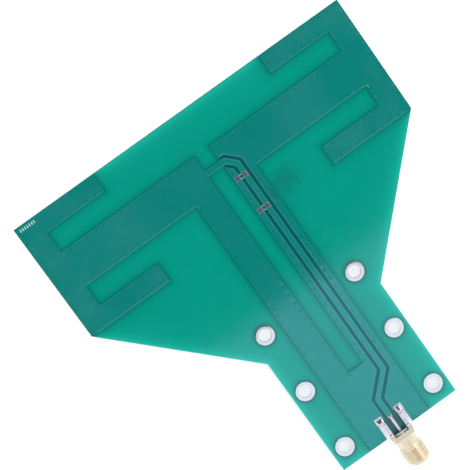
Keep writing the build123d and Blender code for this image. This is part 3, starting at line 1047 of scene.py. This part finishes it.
def jack_body():
    """Flange, neck and threaded barrel in one closed skin, with four legs."""
    crest = (body_high[2] - body_low[2]) / 2
    start = FLANGE_THICKNESS + NECK_LENGTH
    thread_end = REACH - TIP_LENGTH
    corner = [math.atan2(crest, crest - FLANGE_CORNER), math.atan2(crest - FLANGE_CORNER, crest)]
    corners = [c + quarter * math.pi / 2 for quarter in range(4) for c in corner]
    angles = np.linspace(0, 2 * np.pi, 112, endpoint=False)
    angles = np.unique(np.round(np.concatenate([angles, corners]), 6))
    cosine, sine = np.cos(angles), np.sin(angles)

    def round_row(depth, radius):
        depths = np.full(len(angles), FLANGE_FACE - depth)
        return np.column_stack([radius * cosine, depths, AXIS_Z + radius * sine])

    def square_row(depth, inset):
        """Round the flange's square, which is as wide as the thread, with its corners cut."""
        square = (crest - inset) / np.maximum(np.abs(cosine), np.abs(sine))
        cut = (2 * crest - FLANGE_CORNER - inset * math.sqrt(2)) / (np.abs(cosine) + np.abs(sine))
        return round_row(depth, np.minimum(square, cut))

    def thread_row(depth):
        """The helical thread, cut into the cone that leads up to it and tapered at its end."""
        phase = (depth / THREAD_PITCH - angles / (2 * np.pi)) % 1.0
        tooth = np.clip((np.abs(phase - 0.5) * 2 - 0.16) / 0.66, 0.0, 1.0)
        deepen = np.clip((depth - start - 0.25) / 1.1, 0.0, 1.0)
        foot = NECK_RADIUS + NECK_STEP
        cone = foot + (crest - foot) * np.clip((depth - start) / RUN_IN, 0.0, 1.0)
        share = (cone - NECK_RADIUS) / (crest - NECK_RADIUS)
        rise = np.clip((thread_end - depth) / TIP_TAPER, 0.0, 1.0)
        taper = TIP_RADIUS + (crest - TIP_RADIUS) * rise
        return round_row(depth, np.minimum(cone - THREAD_DEPTH * tooth * deepen * share, taper))

    rows = [
        round_row(REAR_RECESS_DEPTH, SLEEVE_BORE),
        round_row(REAR_RECESS_DEPTH, REAR_RECESS_RADIUS),
        round_row(0.03, REAR_RECESS_RADIUS),
        round_row(0.0, REAR_RECESS_RADIUS + 0.03),
        square_row(0.0, EDGE),
        square_row(EDGE, 0.0),
        square_row(FLANGE_THICKNESS - EDGE, 0.0),
        square_row(FLANGE_THICKNESS, EDGE),
        round_row(FLANGE_THICKNESS, NECK_RADIUS + 0.12),
        round_row(FLANGE_THICKNESS + 0.035, NECK_RADIUS + 0.035),
        round_row(FLANGE_THICKNESS + 0.12, NECK_RADIUS),
        round_row(start - NECK_STEP, NECK_RADIUS),
        round_row(start, NECK_RADIUS + NECK_STEP),
    ]
    steps = int((thread_end - start) / (THREAD_PITCH / STEPS_PER_PITCH))
    rows += [thread_row(depth) for depth in np.linspace(start, thread_end, steps)[1:]]
    for depth, drop in ((0.15, 0.0), (0.06, 0.05), (0.0, 0.15)):
        rows.append(round_row(REACH - depth, TIP_RADIUS - drop))
    rows += [
        round_row(REACH, BORE_RADIUS + 0.10),
        round_row(REACH - 0.03, BORE_RADIUS + 0.03),
        round_row(REACH - 0.1, BORE_RADIUS),
        round_row(REACH - SOCKET_DEPTH, BORE_RADIUS),
        round_row(REACH - SOCKET_DEPTH, SLEEVE_BORE),
    ]
    parts = [turned(rows)] + [leg(side, hand) for side in (1, -1) for hand in (-1, 1)]
    vertices, faces = join_parts(parts)
    piece = link_mesh("jack_body", vertices, faces, GOLD, 32.0)
    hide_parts("connector_body")
    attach(piece, "root")


def leg(side, hand):
    """One leg, with its edges broken and its end bevelled."""
    if side > 0:
        face = box_mm("front_left_leg_solder")[0][2]
    else:
        face = box_mm("back_left_leg_solder")[1][2]
    foot = face + side * 0.03
    top = foot + side * LEG_HEIGHT
    rows = []
    for y, inset in (
        (FLANGE_FACE - 0.25, 0.05),
        (FLANGE_FACE, 0.0),
        (leg_end - 0.25, 0.0),
        (leg_end - 0.08, 0.09),
        (leg_end, 0.25),
    ):
        low_x, high_x = leg_inner + inset, leg_outer - inset
        low_z, high_z = foot + side * inset, top - side * inset
        low_cut, high_cut = low_z + side * LEG_EDGE, high_z - side * LEG_EDGE
        ring = [
            (low_x + LEG_EDGE, low_z),
            (high_x - LEG_EDGE, low_z),
            (high_x, low_cut),
            (high_x, high_cut),
            (high_x - LEG_EDGE, high_z),
            (low_x + LEG_EDGE, high_z),
            (low_x, high_cut),
            (low_x, low_cut),
        ]
        rows.append([(hand * x, y, z) for x, z in ring])
    vertices, faces = turned(rows)
    count = len(rows[0])
    faces = faces[:-count]
    faces.append(tuple(range(count)))
    faces.append(tuple(range(len(vertices) - count, len(vertices))))
    return vertices, faces


jack_body()


# -------- carried-over nodes
def repaint(node, material):
    """Gives a CAD node that stays in view its material."""
    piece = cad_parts[node]
    if not piece.material_slots:
        piece.data.materials.append(material)
    for slot in piece.material_slots:
        slot.link = "OBJECT"
        slot.material = material


for node, material in (
    ("laminate", LAMINATE),
    ("front_copper_left", COPPER),
    ("front_copper_right", COPPER),
    ("back_copper", COPPER),
    ("stitching_vias", COPPER),
    ("legend", LEGEND),
    ("connector_insulator", INSULATOR),
    ("connector_contact", CONTACT_GOLD),
):
    repaint(node, material)


# -------- floor, world and light
WHITE = (1.0, 1.0, 1.0)
FLOOR_SIZE = 1500.0
# Strips of the floor under the two rows of holes: dark but shining, so that they look evenly
# bright through the holes, where the board's shadow falls. Each fades between two distances.
HOLE_ROW_X = 13.97
STRIP_WIDE = (3.4, 2.6)
STRIP_LONG = (21.4, 20.6)
STRIP_TINT = (0.10, 0.11, 0.12)
STRIP_SHINE = (0.96, 1.0, 1.04)


def floor_material():
    """Pale and rough, and shining a little for all but diffuse rays, so that it looks white."""
    material, tree, shader = new_material("floor")
    shader.inputs["Roughness"].default_value = 0.9
    shader.inputs["Specular IOR Level"].default_value = 0.0
    place = millimetres(tree)
    grain = noise(tree, place, 0.05, 2.0)
    x, y, _ = axis_of(tree, place)
    off_row = maths(tree, "SUBTRACT", maths(tree, "ABSOLUTE", x), HOLE_ROW_X)
    strip = times(tree, ramp(tree, maths(tree, "ABSOLUTE", off_row), *STRIP_WIDE),
                  ramp(tree, maths(tree, "ABSOLUTE", y), *STRIP_LONG))
    pale = mix(tree, grain, (0.84, 0.88, 0.94), (0.86, 0.90, 0.95))
    feed(tree, shader.inputs["Base Color"], mix(tree, strip, pale, STRIP_TINT))
    feed(tree, shader.inputs["Emission Color"], mix(tree, strip, WHITE, STRIP_SHINE))
    seen, glossy = rays(tree)
    glow = maths(tree, "MULTIPLY_ADD", seen, 0.4, times(tree, glossy, 0.22))
    strip_glow = times(tree, maths(tree, "MAXIMUM", seen, glossy), 0.83)
    glow = plus(tree, times(tree, glow, one_minus(tree, strip)), times(tree, strip_glow, strip))
    feed(tree, shader.inputs["Emission Strength"], glow)
    return material


def rays(tree):
    """Whether a ray is seen directly or through a surface, and whether it comes from gloss."""
    is_ray = tree.nodes.new("ShaderNodeLightPath").outputs
    seen = maths(tree, "MAXIMUM", is_ray["Is Camera Ray"], is_ray["Is Transmission Ray"])
    return seen, is_ray["Is Glossy Ray"]


def add_floor():
    """A pale floor under the jack's flange and the board's far edge, which it rests on."""
    near_z = body_low[2] - 0.02
    far_z = laminate_low[2] - FILM - COPPER_THICKNESS
    slope = (far_z - near_z) / (outline[:, 1].max() - FLANGE_FACE)
    corners = [
        (x, y, near_z + (y - FLANGE_FACE) * slope)
        for x, y in rectangle((-FLOOR_SIZE, -FLOOR_SIZE), (FLOOR_SIZE, FLOOR_SIZE))
    ]
    floor = link_mesh("floor", corners, [(0, 1, 2, 3)], floor_material())


add_floor()

# Edges of the tent's opening, where the directions' x / z and y / z fade from dark to bright
OPENING_SIDES = (0.50, 0.42)
OPENING_NEAR = (-0.176, -0.163)
OPENING_FAR = (0.32, 0.27)
OPENING_TINT = (0.014, 0.012, 0.014)
TENT_TOP = (0.80, 0.84, 0.93)
TENT_WALLS = (0.97, 0.96, 0.95)
FILL = (0.92, 0.92, 0.92)


def add_world():
    """A light tent with an opening overhead, which flat gloss shows dark and the rest bright."""
    world = bpy.data.worlds.new("tent")
    bpy.context.scene.world = world
    world.use_nodes = True
    tree = world.node_tree
    tree.nodes.clear()
    output = tree.nodes.new("ShaderNodeOutputWorld")
    background = tree.nodes.new("ShaderNodeBackground")
    tree.links.new(background.outputs[0], output.inputs[0])
    place = tree.nodes.new("ShaderNodeTexCoord")
    x, y, z = axis_of(tree, place.outputs["Generated"])
    height = maths(tree, "MAXIMUM", z, 0.05)
    across = maths(tree, "ABSOLUTE", maths(tree, "DIVIDE", x, height))
    along = maths(tree, "DIVIDE", y, height)
    opening = times(tree, ramp(tree, across, *OPENING_SIDES), ramp(tree, along, *OPENING_NEAR))
    opening = times(tree, opening, ramp(tree, along, *OPENING_FAR))
    walls = maths(tree, "MAXIMUM", ramp(tree, across, 0.45, 0.7), ramp(tree, along, -0.45, -0.9))
    walls = maths(tree, "MAXIMUM", walls, ramp(tree, along, 0.3, 0.5))
    tent = mix(tree, walls, TENT_TOP, TENT_WALLS)
    tent = mix(tree, opening, tent, OPENING_TINT)
    seen, glossy = rays(tree)
    colour = mix(tree, seen, mix(tree, glossy, FILL, tent), WHITE)
    feed(tree, background.inputs["Color"], colour)
    background.inputs["Strength"].default_value = 1.0


add_world()


def add_lamp(name, place, target, size, watts):
    lamp = bpy.data.lights.new(name, "AREA")
    lamp.shape = "DISK"
    lamp.size = size
    lamp.energy = watts
    lamp_object = bpy.data.objects.new(name, lamp)
    bpy.context.collection.objects.link(lamp_object)
    lamp_object.location = place
    aim = Vector(target) - Vector(place)
    lamp_object.rotation_euler = aim.to_track_quat("-Z", "Y").to_euler()


add_lamp("key", (0.55, 0.10, 0.75), (0.0, 0.02, 0.0), 0.55, 1.6)

bpy.context.scene.view_settings.view_transform = "Standard"
